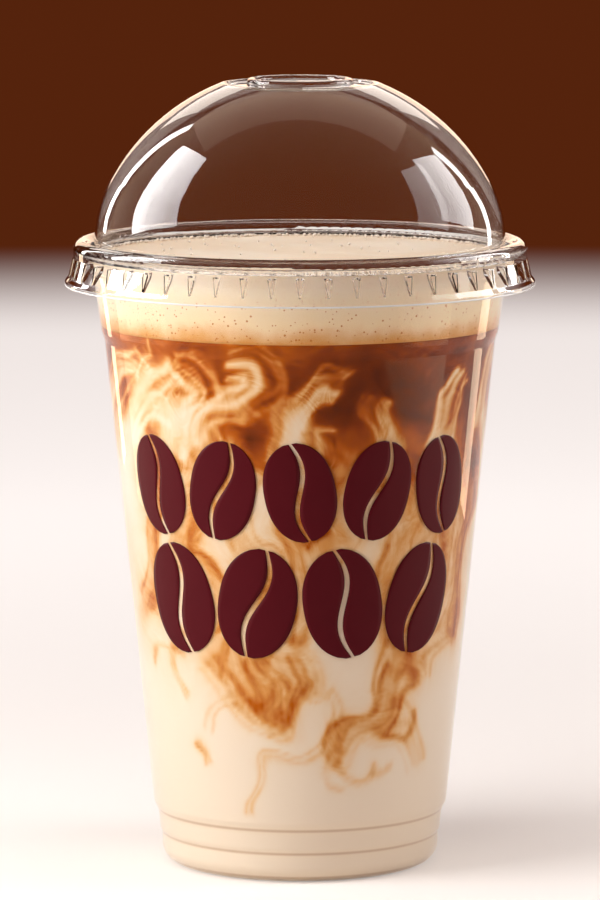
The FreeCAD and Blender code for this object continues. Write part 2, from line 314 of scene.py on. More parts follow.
def place_group(nodes, group, values):
    node = nodes.tree.nodes.new("ShaderNodeGroup")
    node.node_tree = group
    for key, value in values.items():
        nodes.put(node.inputs[key], value)
    return node.outputs


def new_material(name, shader, *values):
    """A material whose nodes are built by a function that returns its shader."""
    material = bpy.data.materials.new(name)
    material.use_nodes = True
    material.node_tree.nodes.clear()
    nodes = Nodes(material.node_tree)
    nodes.put(nodes.add("ShaderNodeOutputMaterial").inputs["Surface"], shader(nodes, *values))
    return material


def position_cm(nodes):
    """The point on the surface in the row's frame, in centimetres."""
    return nodes.scaled(nodes.add("ShaderNodeTexCoord").outputs["Object"], 1 / CM)


# ---------------- effects, as node groups

def make_specks():
    """Small round marks of uneven size, such as fine bubbles: 1 in a mark and 0 between them."""
    nodes, given, result = new_group(
        "specks", {"Vector": None, "Spacing": 0.2, "Size": 0.3, "Share": 0.5}, ["Mask"],
    )
    cells = nodes.add("ShaderNodeTexVoronoi", {
        "Vector": given["Vector"], "Scale": nodes.math("DIVIDE", 1.0, given["Spacing"]),
    }, feature="F1")
    tones = nodes.add("ShaderNodeSeparateColor", {0: cells.outputs["Color"]}).outputs
    uneven = nodes.math("ADD", nodes.math("MULTIPLY", tones[0], 0.8), 0.2)
    radius = nodes.math("MULTIPLY", given["Size"], uneven)
    inside = nodes.math("SUBTRACT", radius, cells.outputs["Distance"])
    edge = nodes.math("MULTIPLY", inside, 12.0, clamp=True)
    kept = nodes.math("LESS_THAN", tones[1], given["Share"])
    nodes.put(result["Mask"], nodes.math("MULTIPLY", edge, kept))
    return nodes.tree


def make_sheet_flow():
    """The slight waviness that formed sheet has, as a height, and its uneven polish."""
    nodes, given, result = new_group("sheet_flow", {"Vector": None, "Scale": 1.0}, ["Height", "Roughness"])
    long_waves = nodes.vector("MULTIPLY", given["Vector"], (1.0, 1.0, 0.35))
    waves = nodes.noise(long_waves, given["Scale"], detail=1.0)["Fac"]
    fine = nodes.noise(given["Vector"], 6.0, detail=2.0)["Fac"]
    nodes.put(result["Height"], waves)
    nodes.put(result["Roughness"], nodes.between(fine, 0.35, 0.75, *SHEET_ROUGHNESS))
    return nodes.tree


def make_grain():
    """Fine grain: a tone from 0 to 1 for colours and bumps, and a roughness between two limits."""
    nodes, given, result = new_group(
        "fine_grain",
        {"Vector": None, "Scale": 40.0, "Detail": 2.0, "Smooth": 0.3, "Rough": 0.5},
        ["Tone", "Roughness"],
    )
    tone = nodes.noise(given["Vector"], given["Scale"], detail=given["Detail"])["Fac"]
    nodes.put(result["Tone"], tone)
    nodes.put(result["Roughness"], nodes.between(tone, *NOISE_RANGE, given["Smooth"], given["Rough"]))
    return nodes.tree


def make_marbling():
    """How much coffee there is at a point, from 0 for milk to 1 for coffee, with the flow's fine streaks.

    Poured is the slow part of it. Change is how fast that part changes, so that streaks show where
    coffee and milk meet.
    """
    nodes, given, result = new_group(
        "marbling",
        {"Vector": None, "Flow": None, "Poured": 0.3, "Change": 0.3},
        ["Coffee", "Streaks"],
    )
    drift = nodes.vector("SUBTRACT", nodes.noise(given["Flow"], 1.0, detail=1.0)["Color"], (0.5, 0.5, 0.5))
    flow = nodes.vector("ADD", given["Flow"], nodes.scaled(drift, FLOW_DRIFT))
    broad = nodes.noise(flow, **BROAD_STREAKS)["Fac"]
    fine = nodes.noise(flow, **FINE_STREAKS)["Fac"]
    clouds = nodes.noise(given["Vector"], **CLOUDS)["Fac"]
    mixing = nodes.math("MULTIPLY", given["Poured"], nodes.math("SUBTRACT", FULL_MIX, given["Poured"]))
    finer_higher = nodes.between(nodes.height(given["Vector"]), *FINE_MIXED)
    fine_mixing = nodes.math("MULTIPLY", mixing, finer_higher)
    coffee = given["Poured"]
    for pattern, gain in (
        (broad, nodes.math("ADD", nodes.math("MULTIPLY", given["Change"], BROAD_AT_EDGES), mixing)),
        (fine, nodes.math("ADD", nodes.math("MULTIPLY", given["Change"], FINE_AT_EDGES), fine_mixing)),
        (clouds, nodes.math("MULTIPLY", mixing, CLOUDS_MIXED)),
    ):
        centred = nodes.math("SUBTRACT", pattern, 0.5)
        coffee = nodes.math("ADD", coffee, nodes.math("MULTIPLY", centred, gain))
    nodes.put(result["Coffee"], nodes.math("ADD", coffee, 0.0, clamp=True))
    nodes.put(result["Streaks"], fine)
    return nodes.tree


SPECKS = make_specks()
SHEET_FLOW = make_sheet_flow()
GRAIN = make_grain()
MARBLING = make_marbling()


# ---------------- materials

def grain_of(nodes, place, scale, roughness, detail=2.0):
    """The grain group, placed with its own scale and its own range of roughness."""
    smooth, rough = roughness
    return place_group(nodes, GRAIN, {
        "Vector": place, "Scale": scale, "Detail": detail, "Smooth": smooth, "Rough": rough,
    })


def clear_sheet(nodes, wave_scale, wave_height):
    """Clear formed sheet. Lamps shine through it without being bent."""
    flow = place_group(nodes, SHEET_FLOW, {"Vector": position_cm(nodes), "Scale": wave_scale})
    sheet = nodes.principled({
        "Base Color": SHEET, "IOR": SHEET_IOR, "Transmission Weight": 1.0, "Specular Tint": SHEET_MIRROR,
        "Roughness": flow["Roughness"], "Normal": nodes.bump(flow["Height"], 1.0, wave_height),
    })
    clear = nodes.add("ShaderNodeBsdfTransparent", {"Color": SHEET_SHADOW})
    light = nodes.add("ShaderNodeLightPath")
    passing = nodes.add("ShaderNodeMixShader", {
        0: light.outputs["Is Shadow Ray"], 1: sheet, 2: clear.outputs[0],
    })
    return passing.outputs[0]


def marbled_latte(nodes):
    place = position_cm(nodes)
    marbled = place_group(nodes, MARBLING, {
        "Vector": place, "Flow": nodes.stored("flow")["Vector"],
        "Poured": nodes.stored("poured")["Fac"], "Change": nodes.stored("change")["Fac"],
    })
    colour = nodes.ramp(marbled["Coffee"], MARBLING_COLOURS)
    height = nodes.height(place)
    # painted shade: a dark line in the drink's colour at each of the cup's steps
    for step in FOOT_STEPS:
        away = nodes.math("ABSOLUTE", nodes.math("SUBTRACT", height, step / CM))
        line = nodes.between(away, STEP_REACH, 0.0)
        colour = nodes.mix(nodes.math("MULTIPLY", line, STEP_DEPTH), colour, STEP_SHADE)
    return nodes.principled({
        "Base Color": colour, "IOR": 1.34, "Specular IOR Level": 0.0,
        "Roughness": nodes.between(marbled["Streaks"], *NOISE_RANGE, *DRINK_ROUGHNESS),
        "Normal": nodes.bump(marbled["Streaks"], 0.2, 0.03 * MM),
    })


def above_coffee(band):
    """A band's two heights, in centimetres, from its distances from the coffee's level."""
    return [COFFEE_LEVEL / CM + edge for edge in band]


def foamed_milk(nodes):
    place = position_cm(nodes)
    height = nodes.height(place)
    stain = nodes.noise(place, 1.6, detail=3.0)["Fac"]
    raised = nodes.math("SUBTRACT", height, nodes.math("MULTIPLY", stain, STAIN_WANDER))
    side = nodes.between(raised, *above_coffee(STAIN_BAND))
    soaked = nodes.between(raised, *above_coffee(SOAKED_BAND))
    body = nodes.mix(side, CARAMEL, nodes.mix(soaked, FOAM_LOW, FOAM_SIDE))
    patches = nodes.between(nodes.noise(place, 0.55, detail=2.0)["Fac"], 0.35, 0.65)
    on_top = nodes.between(height, COFFEE_LEVEL / CM + TOP_BAND[0], FOAM_LEVEL / CM - TOP_BAND[1])
    colour = nodes.mix(on_top, body, nodes.mix(patches, FOAM_PATCH, FOAM_TOP))
    dots = place_group(nodes, SPECKS, {"Vector": place, "Spacing": 0.08, "Size": 0.36, "Share": 0.6})
    low_down = nodes.between(height, *above_coffee(SPECK_BAND))
    shown = nodes.math("MULTIPLY", nodes.math("MULTIPLY", dots["Mask"], 0.8), low_down)
    colour = nodes.mix(shown, colour, FOAM_SPECK)
    cells = nodes.add("ShaderNodeTexVoronoi", {"Vector": place, "Scale": 22.0}, feature="SMOOTH_F1")
    froth = cells.outputs["Distance"]
    return nodes.principled({
        "Base Color": colour, "Specular IOR Level": 0.0,
        "Roughness": nodes.between(froth, 0.0, 0.6, *FOAM_ROUGHNESS),
        "Normal": nodes.bump(froth, 0.25, 0.2 * MM),
        "Subsurface Weight": 0.15, "Subsurface Radius": (1.0, 0.7, 0.45), "Subsurface Scale": 1.5 * MM,
    })


def maroon_ink(nodes):
    place = position_cm(nodes)
    cloud = nodes.noise(place, 2.0, detail=3.0)["Fac"]
    grain = grain_of(nodes, place, 60.0, INK_ROUGHNESS)
    return nodes.principled({
        "Base Color": nodes.mix(nodes.math("MULTIPLY", cloud, 0.5), INK, INK_THIN),
        "Roughness": grain["Roughness"], "Specular IOR Level": 0.06,
        "Normal": nodes.bump(grain["Tone"], 0.3, 0.01 * MM),
    })


def bubble_film(nodes):
    grain = grain_of(nodes, position_cm(nodes), 14.0, BUBBLE_ROUGHNESS, detail=1.0)
    return nodes.principled({
        "Base Color": nodes.mix(grain["Tone"], BUBBLE_DARK, BUBBLE_PALE),
        "Roughness": grain["Roughness"], "Specular IOR Level": 0.5,
        "Normal": nodes.bump(grain["Tone"], 0.1, 0.01 * MM),
    })


def frosted_highlight_edge(nodes):
    """The lid's cut edge, which the knife leaves frosted, so that it catches light. Its pale colour is partly
    a painted highlight along the brim.
    """
    grain = grain_of(nodes, position_cm(nodes), 40.0, EDGE_ROUGHNESS)
    return nodes.principled({
        "Base Color": nodes.mix(grain["Tone"], EDGE_DULL, EDGE_BRIGHT),
        "IOR": SHEET_IOR, "Roughness": grain["Roughness"], "Transmission Weight": 0.35,
        "Normal": nodes.bump(grain["Tone"], 0.4, 0.03 * MM),
    })


def pale_table(nodes):
    """A pale table that runs out into the brown of the room.

    Its own glow is what the camera, the clear sheet and gloss see.
    """
    coordinates = nodes.add("ShaderNodeTexCoord").outputs["Object"]
    reach = nodes.vector("LENGTH", coordinates)
    grain = grain_of(nodes, coordinates, 30.0, TABLE_ROUGHNESS, detail=3.0)
    pale = nodes.mix(nodes.math("MULTIPLY", grain["Tone"], 0.05), FLOOR_PALE, FLOOR_GRAIN)
    far = nodes.between(reach, *TABLE_FADE)
    light = nodes.add("ShaderNodeLightPath").outputs
    seen = nodes.math("MAXIMUM", light["Is Camera Ray"], light["Is Glossy Ray"])
    seen = nodes.math("MAXIMUM", seen, light["Is Transmission Ray"])
    lifted = nodes.mix(nodes.between(reach, *TABLE_LIFT), FLOOR_NEAR, FLOOR_FAR)
    return nodes.principled({
        "Base Color": nodes.mix(far, pale, BLACK), "Roughness": grain["Roughness"], "Specular IOR Level": 0.0,
        "Emission Color": nodes.mix(far, lifted, ROOM_BROWN), "Emission Strength": seen,
    })


# ---------------- shapes

def outline(node):
    """The outline of a round solid, read off its vertices: its underside from the axis out, then its side."""
    seen = {}
    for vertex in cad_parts[node].data.vertices:
        radius = math.hypot(vertex.co.x, vertex.co.y)
        seen[(round(radius, 5), round(vertex.co.z, 5))] = (radius, vertex.co.z)
    places = list(seen.values())
    lowest = min(height for radius, height in places)
    foot = [radius for radius, height in places if height < lowest + SAME_PLACE]
    under = sorted(p for p in places if p[0] <= min(foot) + FOOT_REACH and p[1] < lowest + PANEL_REACH)
    side = sorted((p for p in places if p[0] >= max(foot) - SAME_PLACE), key=lambda p: (p[1], p[0]))
    return under, side


def mesh_object(name, vertices, faces, material):
    mesh = bpy.data.meshes.new(name)
    mesh.from_pydata(vertices, [], faces)
    mesh.validate()
    mesh.materials.append(material)
    mesh.shade_smooth()
    piece = bpy.data.objects.new(name, mesh)
    bpy.context.scene.collection.objects.link(piece)
    return piece


def turned(radius, angle, height):
    """The point at an angle on a ring round the axis."""
    return radius * math.cos(angle), radius * math.sin(angle), height


def lathe(rows):
    """Vertices and faces of a closed turned shape. Rows run up the outside, then in over the top to the axis.

    A row is a function of the angle that gives a radius and a height.
    """
    vertices = [(0.0, 0.0, rows[0](0.0)[1])]
    for row in rows:
        for i in range(SEGMENTS):
            angle = 2 * math.pi * i / SEGMENTS
            radius, height = row(angle)
            vertices.append(turned(radius, angle, height))
    vertices.append((0.0, 0.0, rows[-1](0.0)[1]))
    top = len(vertices) - 1
    last = top - SEGMENTS
    faces = []
    for i in range(SEGMENTS):
        after = (i + 1) % SEGMENTS
        faces.append((0, 1 + after, 1 + i))
        for j in range(len(rows) - 1):
            low = 1 + j * SEGMENTS
            high = low + SEGMENTS
            faces.append((low + i, low + after, high + after, high + i))
        faces.append((last + i, last + after, top))
    return vertices, faces


def fixed_row(radius, height):
    return lambda angle: (radius, height)


def thinned(places, least):
    """Leaves out points nearer than the least distance to the one before, but keeps the last."""
    kept = [places[0]]
    for place in places[1:-1]:
        if math.dist(place, kept[-1]) >= least:
            kept.append(place)
    kept.append(places[-1])
    return kept


def filled_in(places, most):
    """Adds points so that no two neighbours are further apart than the most."""
    full = [places[0]]
    for before, after in zip(places, places[1:]):
        steps = max(1, math.ceil(math.dist(before, after) / most))
        for step in range(1, steps + 1):
            share = step / steps
            full.append(tuple(a + (b - a) * share for a, b in zip(before, after)))
    return full


def side_radius(side, heights):
    """The radius of a turned side at one height or many, all in metres."""
    radii, levels = zip(*side)
    return np.interp(heights, levels, radii)


def wall_point(side, degrees, height):
    """The point on the drink's side, in centimetres, at an angle from the front and a height."""
    radius = float(side_radius(side, height * CM)) / CM
    angle = math.radians(degrees)
    return np.array((radius * math.sin(angle), -radius * math.cos(angle), height))


def along_stream(places, stops):
    """Distance of every place from a stream, how far along it that is, and the stream's length."""
    best = np.full(len(places), np.inf)
    run = np.zeros(len(places))
    walked = 0.0
    for start, end in zip(stops, stops[1:]):
        leg = end - start
        length = float(np.linalg.norm(leg))
        share = np.clip((places - start) @ leg / length ** 2, 0.0, 1.0)
        distance = np.linalg.norm(places - (start + share[:, None] * leg), axis=1)
        closer = distance < best
        best = np.where(closer, distance, best)
        run = np.where(closer, walked + share * length, run)
        walked += length
    return best, run, walked


def eddied(places, scale, distance, seed):
    """Places moved by smooth noise."""
    shift = Vector((seed * 7.3, seed * 3.1, seed * 5.7))
    moved = [noise.noise_vector(Vector(place) * scale + shift) for place in places]
    return places + np.array(moved) * distance


def back_on_wall(places, side):
    """Places moved straight in or out to the drink's side at their own height."""
    radius = side_radius(side, places[:, 2] * CM) / CM
    scale = radius / np.maximum(np.hypot(places[:, 0], places[:, 1]), 0.1)
    return places * np.column_stack((scale, scale, np.ones(len(places))))


def eased(values, low, width):
    """0 below the low value and 1 above it by the width, with a soft start and end."""
    share = np.clip((values - low) / width, 0.0, 1.0)
    return share * share * (3 - 2 * share)


# Streams poured into the drink: share of coffee, width at the start and end in cm,
# then stops as degrees from the front and heights in cm. Milk streams thin the coffee out.
COFFEE_STREAMS = [
    (0.45, 0.5, 0.5, [(-34, 11.25), (-22, 11.05)]),
    (0.4, 0.55, 0.5, [(6, 11.2), (-6, 10.9)]),
    (0.6, 0.75, 0.65, [(14, 10.95), (30, 10.7), (52, 10.4)]),
    (0.6, 0.42, 0.4, [(24, 11.1), (17, 10.82)]),
    (0.5, 0.75, 0.55, [(47, 11.1), (36, 10.6)]),
    (0.4, 0.35, 0.25, [(-9, 11.33), (-7, 10.83), (-9, 10.29), (-12, 9.6)]),
    (0.45, 0.45, 0.25, [(18, 10.6), (15, 10.1), (18, 9.5)]),
    (0.4, 0.4, 0.25, [(38, 10.3), (40, 9.6), (36, 9.0)]),
    (0.55, 0.45, 0.3, [(68, 11.3), (66, 10.3), (65, 9.0)]),
    (0.45, 0.35, 0.25, [(-75, 11.4), (-79, 10.4)]),
    (0.45, 0.26, 0.16, [(-66, 10.7), (-56, 10.35), (-47, 9.95), (-44, 9.4), (-48, 8.9)]),
    (0.38, 0.22, 0.14, [(-26, 10.3), (-33, 9.85), (-31, 9.3), (-25, 8.9)]),
    (0.4, 0.22, 0.12, [(-16, 10.1), (-12, 9.75), (-14, 9.3)]),
    (0.3, 0.25, 0.4, [(-46, 9.6), (-54, 7.8), (-64, 6.0)]),
    (0.25, 0.3, 0.25, [(-18, 9.8), (-21, 8.5), (-15, 7.2), (-17, 6.2)]),
    (0.3, 0.32, 0.25, [(7, 9.8), (12, 8.6), (7, 7.3)]),
    (0.42, 0.35, 0.3, [(66, 9.2), (68, 7.8), (69, 6.0), (66, 5.2)]),
    (0.32, 0.2, 0.3, [(-13, 6.8), (-9, 5.6), (-12, 5.0)]),
    (0.28, 0.22, 0.18, [(2, 8.6), (-1, 7.2), (3, 5.6)]),
    (0.28, 0.32, 0.25, [(33, 9.4), (37, 8.1), (29, 6.9), (33, 5.6)]),
    (0.28, 0.25, 0.35, [(50, 8.5), (52, 6.7), (45, 5.3)]),
    (0.24, 0.22, 0.3, [(-35, 8.6), (-31, 7.2), (-38, 5.6)]),
    (0.42, 0.34, 0.22, [(-31, 5.15), (-22, 4.55), (-14, 4.05), (-7, 3.8)]),
    (0.32, 0.26, 0.18, [(-7, 3.85), (-3, 4.3), (-5, 5.05)]),
    (0.5, 0.24, 0.1, [(-17, 5.0), (-14, 4.6), (-11, 4.15), (-8, 3.85)]),
    (0.48, 0.11, 0.075, [(0, 5.18), (2, 4.5), (7, 4.35), (12, 4.51), (17, 3.96), (15, 3.39), (9, 3.02),
                        (3, 2.8), (-5, 2.62), (-12, 2.5), (-17, 2.2), (-18, 1.9), (-17, 1.65)]),
    (0.48, 0.3, 0.12, [(42, 4.8), (30, 3.95), (20, 3.45), (13, 2.95)]),
    (0.4, 0.11, 0.07, [(13, 2.95), (11, 2.55), (12, 2.32), (16, 2.24)]),
    (0.34, 0.3, 0.1, [(29, 3.75), (35, 3.3), (43, 2.85), (48, 2.4)]),
    (0.6, 0.1, 0.07, [(-20, 6.1), (-27, 5.5), (-30, 4.9), (-24, 4.4), (-15, 4.1), (-10, 4.45),
                        (-13, 4.95)]),
    (0.6, 0.1, 0.07, [(-6, 5.6), (2, 5.3), (5, 4.75), (1, 4.2), (-6, 3.6), (-9, 3.2)]),
    (0.6, 0.1, 0.06, [(40, 5.6), (31, 4.9), (27, 4.2), (20, 3.6), (17, 2.9), (21, 2.45), (27, 2.6)]),
    (0.55, 0.09, 0.07, [(48, 5.0), (44, 4.2), (36, 3.8), (33, 3.3), (37, 2.9), (43, 3.1), (42, 3.5)]),
    (0.5, 0.09, 0.07, [(-58, 6.0), (-50, 5.3), (-53, 4.6), (-46, 4.1)]),
    (0.55, 0.1, 0.06, [(-39, 3.2), (-36, 2.96), (-34, 2.7)]),
    (0.45, 0.09, 0.07, [(25, 2.42), (29, 2.32), (34, 2.3)]),
    (0.45, 0.07, 0.06, [(-44, 5.0), (-54, 4.95), (-62, 4.76), (-67, 4.4)]),
    (0.45, 0.07, 0.06, [(66, 4.9), (59, 4.82), (54, 4.64), (51, 4.3)]),
    (0.32, 0.08, 0.05, [(-24, 4.25), (-30, 4.15), (-34, 3.95), (-36, 3.6)]),
]
MILK_STREAMS = [
    (0.7, 0.45, 0.25, [(-62, 9.6), (-52, 10.2), (-42, 10.35)]),
    (0.88, 0.3, 0.1, [(-34, 10.2), (-24, 10.38), (-18, 10.52), (-13, 10.8), (-12, 11.08), (-15, 11.32),
                        (-21, 11.38)]),
    (0.92, 0.34, 0.1, [(-5, 9.4), (-2, 10.0), (0, 10.5), (5, 10.83), (10, 10.98), (14, 10.9)]),
    (0.8, 0.22, 0.1, [(47, 9.6), (49, 10.29), (51, 10.64), (54, 10.95), (57, 11.12)]),
    (0.85, 0.34, 0.12, [(-67, 9.8), (-60, 10.4), (-52, 10.8), (-46, 11.2), (-42, 11.46)]),
    (0.8, 0.26, 0.1, [(-84, 10.1), (-72, 10.83), (-63, 11.08), (-57, 11.1), (-56, 10.9)]),
    (0.82, 0.36, 0.12, [(-44, 9.7), (-37, 10.45), (-32, 10.82), (-35, 11.04), (-41, 11.2)]),
    (0.5, 0.26, 0.1, [(30, 9.3), (26, 10.14), (28, 10.5)]),
    (0.55, 0.18, 0.1, [(73, 9.8), (74, 10.6), (78, 11.1)]),
]

# Thin strands beside each stream. Low down, streams have mostly run out into strands.
CURVE_STEPS = 4  # stops of the smooth curve for each stop that is given
STRANDS = 6
LOW_STRANDS = 6
LOW_DOWN = 6.2  # in cm, as the mean height of a stream's stops
LOW_SHARE = 0.42  # share of its strength that a low stream keeps
LOW_STRAND_SHARE = 0.6
STRAND_WIDTH = (0.055, 0.11)
STRAND_NARROWS = 0.7
STRAND_ASIDE = (0.3, 1.7)  # how far beside the stream, in widths of the stream
STRAND_WANDER = (0.75, 1.25)
STRAND_STRENGTH = (0.4, 1.4)
THIN_STREAM = 0.15  # up to this width in cm, a stream has only one strand
CM_PER_DEGREE = 0.068  # length of one degree of the cup's wall, about half way up

# Small whirls that the pouring left, with their heights and reach in cm and their turns.
WHIRLS = 46
WHIRL_HEIGHT = (2.0, 11.2)
WHIRL_REACH = (0.45, 1.05)
WHIRL_TURNS = (0.08, 0.26)
GOLDEN_PART = 0.618  # spaces the whirls evenly round the cup
FRONT_REACH = 75  # degrees either side of the front where whirls are calmer
PRINT_HEIGHTS = (5.6, 9.4)  # but not behind the print
FRONT_CALM = 0.65

# How the back's streams differ from the front's: angles in degrees, and heights in cm.
BACK_SPREAD = 1.04
BACK_TURN = (-9.0, 9.0)
BACK_LIFT = (-0.25, 0.15)
BACK_GROWTH = (0.85, 1.2)
BACK_SHARE = (0.85, 1.0)

# Pouring. Heights are in cm, and depths in cm below the coffee's level.
MILK_STRENGTH = 0.88
CORE = 0.75  # share of a coffee stream's strength in its core
HALO = 2.5  # width of the thin haze round it, as a share of the stream's own
HALO_SHARE = (0.12, 0.35)  # strength of that haze for thin streams and for wide ones
TOP_COFFEE = 0.58  # share of coffee that lies on top
TOP_DEPTH = 2.9
TOP_FADE = 1.8
HAZE_FROM = 3.6  # height above which the milk has a haze of coffee, and how it grows
HAZE_RISE = 5.5
HAZE_SHARE = (0.08, 0.20)  # mean share, and how far clouds vary it
LYING_DEPTH = 1.1  # above this depth streaks lie level, and below it they hang
LYING_FADE = 0.7
HANGING = np.array((1.0, 1.0, 0.38))
LYING = np.array((0.45, 0.45, 1.48))


def rounded(stops):
    """More stops along a smooth curve through the given ones."""
    points = [np.array(stop) for stop in (stops[0], *stops, stops[-1])]
    curve = []
    for a, b, c, d in zip(points, points[1:], points[2:], points[3:]):
        for step in range(CURVE_STEPS):
            t = step / CURVE_STEPS
            bend = (2 * a - 5 * b + 4 * c - d) * t * t + (3 * b - a - 3 * c + d) * t ** 3
            curve.append(b + ((c - a) * t + bend) / 2)
    curve.append(points[-1])
    return curve


def strand_beside(stops, aside, rng):
    """The stops of a strand that runs beside a stream, at an uneven distance."""
    moved = []
    for i, (degrees, height) in enumerate(stops):
        before = stops[max(i - 1, 0)]
        after = stops[min(i + 1, len(stops) - 1)]
        leg = Vector(((after[0] - before[0]) * CM_PER_DEGREE, after[1] - before[1])).normalized()
        away = aside * rng.uniform(*STRAND_WANDER)
        moved.append((degrees - leg.y * away / CM_PER_DEGREE, height + leg.x * away))
    return moved


def with_strands(streams, seed, part):
    """The streams, each with thin strands beside it that carry part of its share."""
    rng = random.Random(seed)
    every = []
    for share, wide, narrow, stops in streams:
        low = sum(height for degrees, height in stops) / len(stops) < LOW_DOWN
        every.append((share * (LOW_SHARE if low else 1.0), wide, narrow, stops))
        strands = LOW_STRANDS if low else STRANDS
        carried = share * part * (LOW_STRAND_SHARE if low else 1.0)
        for number in range(strands if wide > THIN_STREAM else 1):
            aside = rng.uniform(*STRAND_ASIDE) * rng.choice((-1, 1)) * max(wide, THIN_STREAM)
            moved = strand_beside(stops, aside, rng)
            thin = rng.uniform(*STRAND_WIDTH)
            every.append((carried * rng.uniform(*STRAND_STRENGTH), thin, thin * STRAND_NARROWS, moved))
    return every


def both_sides_round(streams, seed):
    """The front's streams, and looser copies of them round the back."""
    rng = random.Random(seed)
    every = []
    for share, wide, narrow, stops in streams:
        every.append((share, wide, narrow, stops))
        turn = rng.uniform(*BACK_TURN)
        lift = rng.uniform(*BACK_LIFT)
        grow = rng.uniform(*BACK_GROWTH)
        moved = [(180.0 - degrees * BACK_SPREAD + turn, height + lift) for degrees, height in stops]
        every.append((share * rng.uniform(*BACK_SHARE), wide * grow, narrow * grow, moved))
    return every


def whirled(places, side, seed, strength, calm_front):
    """Places carried back round every small whirl in turn."""
    rng = random.Random(seed)
    for number in range(WHIRLS):
        degrees = 360.0 * (number * GOLDEN_PART % 1.0) - 180.0
        height = rng.uniform(*WHIRL_HEIGHT)
        reach = rng.uniform(*WHIRL_REACH)
        turns = rng.uniform(*WHIRL_TURNS) * rng.choice((-1, 1)) * strength
        behind_print = PRINT_HEIGHTS[0] < height < PRINT_HEIGHTS[1]
        if calm_front and abs(degrees) < FRONT_REACH and not behind_print:
            turns = FRONT_CALM * turns
        centre = wall_point(side, degrees, height)
        axis = centre * (1.0, 1.0, 0.0)
        axis = axis / np.linalg.norm(axis)
        arm = places - centre
        distance = np.linalg.norm(arm, axis=1)
        angle = (turns * 2 * math.pi * np.exp(-(distance / reach) ** 2))[:, None]
        along = (arm @ axis)[:, None] * axis
        turned_arm = arm * np.cos(angle) + np.cross(axis, arm) * np.sin(angle)
        places = centre + turned_arm + along * (1 - np.cos(angle))
    return places


def change_of(values, places, rows):
    """How much a value changes per centimetre over a turned piece, whose vertices run round row by row."""
    grid = values[1:-1].reshape(rows, SEGMENTS)
    spots = places[1:-1].reshape(rows, SEGMENTS, 3)
    slopes = []
    for axis in (0, 1):
        step = np.linalg.norm(np.roll(spots, -1, axis=axis) - np.roll(spots, 1, axis=axis), axis=2)
        rise = np.roll(grid, -1, axis=axis) - np.roll(grid, 1, axis=axis)
        slopes.append(rise / np.maximum(step, 0.02))
    slopes[0][0] = slopes[0][-1] = 0.0
    change = np.minimum(np.hypot(*slopes), 1.0)
    return np.concatenate(((0.0,), change.ravel(), (0.0,)))


def layered(eddies):
    """Share of coffee before the streams: most on top, and a cloudy haze of it in the milk below."""
    wander = np.array([noise.noise(Vector(place) * 0.6) for place in eddies])
    top = TOP_COFFEE * eased(eddies[:, 2] + wander * 0.8, COFFEE_LEVEL / CM - TOP_DEPTH, TOP_FADE)
    haze = np.clip((eddies[:, 2] + wander - HAZE_FROM) / HAZE_RISE, 0.0, 1.0)
    clouds = np.array([noise.noise(Vector(place * (1.0, 1.0, 0.45)) * 0.9) for place in eddies])
    return top + (HAZE_SHARE[0] + HAZE_SHARE[1] * clouds) * haze * (1 - top)


def pour(piece, side):
    """Stores on a piece how much coffee was poured at each point, and the way that the drink flowed there."""
    mesh = piece.data
    count = len(mesh.vertices)
    places = np.zeros(count * 3)
    mesh.vertices.foreach_get("co", places)
    places = places.reshape(-1, 3) / CM
    stirred = whirled(places, side, seed=11, strength=1.0, calm_front=True)
    eddies = eddied(stirred, scale=0.9, distance=0.22, seed=1)
    eddies = back_on_wall(eddied(eddies, scale=1.9, distance=0.10, seed=2), side)
    poured = layered(eddies)
    swirls = whirled(stirred, side, seed=23, strength=1.9, calm_front=False)
    flow = eddied(swirls, scale=0.9, distance=0.3, seed=1)
    lying = eased(flow[:, 2], COFFEE_LEVEL / CM - LYING_DEPTH, LYING_FADE)[:, None]
    flow = flow * (HANGING + lying * (LYING - HANGING))
    coffee_streams = both_sides_round(with_strands(COFFEE_STREAMS, seed=7, part=0.65), seed=5)
    milk_streams = both_sides_round(with_strands(MILK_STREAMS, seed=8, part=0.55), seed=6)
    for number, (share, wide, narrow, stops) in enumerate(coffee_streams + milk_streams):
        stops = np.array([wall_point(side, degrees, height) for degrees, height in rounded(stops)])
        reach = 2.0 * HALO * max(wide, narrow)
        near = np.all((eddies > stops.min(axis=0) - reach) & (eddies < stops.max(axis=0) + reach), axis=1)
        distance, run, length = along_stream(eddies[near], stops)
        width = wide + (narrow - wide) * run / length
        weight = np.exp(-(distance / width) ** 2)
        if number < len(coffee_streams):
            halo = HALO_SHARE[wide > THIN_STREAM] * np.exp(-(distance / (HALO * width)) ** 2)
            poured[near] += (1.0 - poured[near]) * share * (CORE * weight + halo)
        else:
            poured[near] *= 1.0 - MILK_STRENGTH * share * weight
    change = change_of(poured, places, (count - 2) // SEGMENTS)
    mesh.attributes.new("poured", "FLOAT", "POINT").data.foreach_set("value", poured)
    mesh.attributes.new("change", "FLOAT", "POINT").data.foreach_set("value", change)
    mesh.attributes.new("flow", "FLOAT_VECTOR", "POINT").data.foreach_set("vector", flow.ravel())


def make_latte(material):
    under, side = outline("latte")
    under = thinned(under, LEAST_STEP)
    side = thinned(side, LEAST_STEP)
    rows = [fixed_row(radius, height - INTO_WALL) for radius, height in under if radius > MM]
    rows += [fixed_row(radius + INTO_WALL, height) for radius, height in filled_in(side, WALL_STEP)]
    rows.append(fixed_row(side[-1][0] * 0.5, side[-1][1]))
    vertices, faces = lathe(rows)
    piece = mesh_object("marbled_drink", vertices, faces, material)
    pour(piece, side)
    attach(piece, "root")
    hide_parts("latte")


